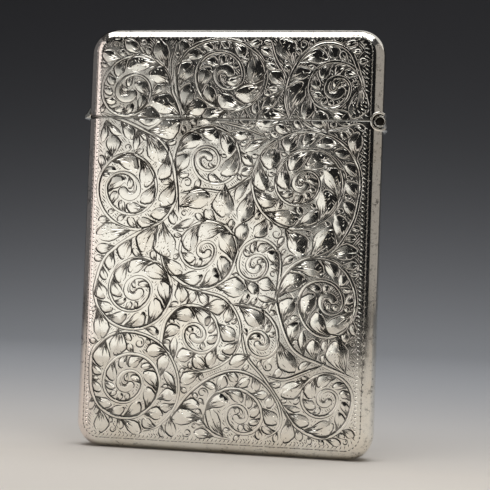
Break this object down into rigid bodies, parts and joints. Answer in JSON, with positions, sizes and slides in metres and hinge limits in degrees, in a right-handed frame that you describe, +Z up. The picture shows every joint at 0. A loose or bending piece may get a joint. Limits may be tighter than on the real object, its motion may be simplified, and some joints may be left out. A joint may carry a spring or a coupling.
{
  "type": "card case",
  "caption": "Slim engraved silver card case with rounded edges, a side-hinged lid on a knuckle hinge, an inner collar that holds the lid shut, and a thumb piece.",
  "frame": {"origin": "middle of the flat bottom edge that the case stands on", "axes": "+Z up to the lid's top, +X towards the hinge side, front face towards -Y, back face towards +Y"},
  "size_m": [0.0658, 0.008, 0.09],
  "materials": {
    "engraved_silver": "polished silver, engraved, dark in the cuts",
    "plain_silver": "polished silver",
    "collar_silver": "satin silver, rubbed by the lid",
    "pin_wire": "drawn wire"
  },
  "bodies": {
    "case_body": {"body_front_shell": "engraved_silver", "body_back_shell": "engraved_silver", "mouth_collar": "collar_silver", "body_hinge_bearer": "plain_silver", "body_knuckle_front": "plain_silver", "body_knuckle_middle": "plain_silver", "body_knuckle_rear": "plain_silver", "hinge_pin": "pin_wire"},
    "lid": {"lid_front_shell": "engraved_silver", "lid_back_shell": "engraved_silver", "lid_hinge_bearer": "plain_silver", "lid_knuckle_front": "plain_silver", "lid_knuckle_rear": "plain_silver", "thumb_piece": "plain_silver"}
  },
  "joints": [
    {"name": "lid_hinge", "type": "hinge", "parent": "case_body", "child": "lid", "pos_m": [0.0311, 0, 0.0705], "axis": [0, 1, 0], "range_deg": [0, 100]}
  ]
}
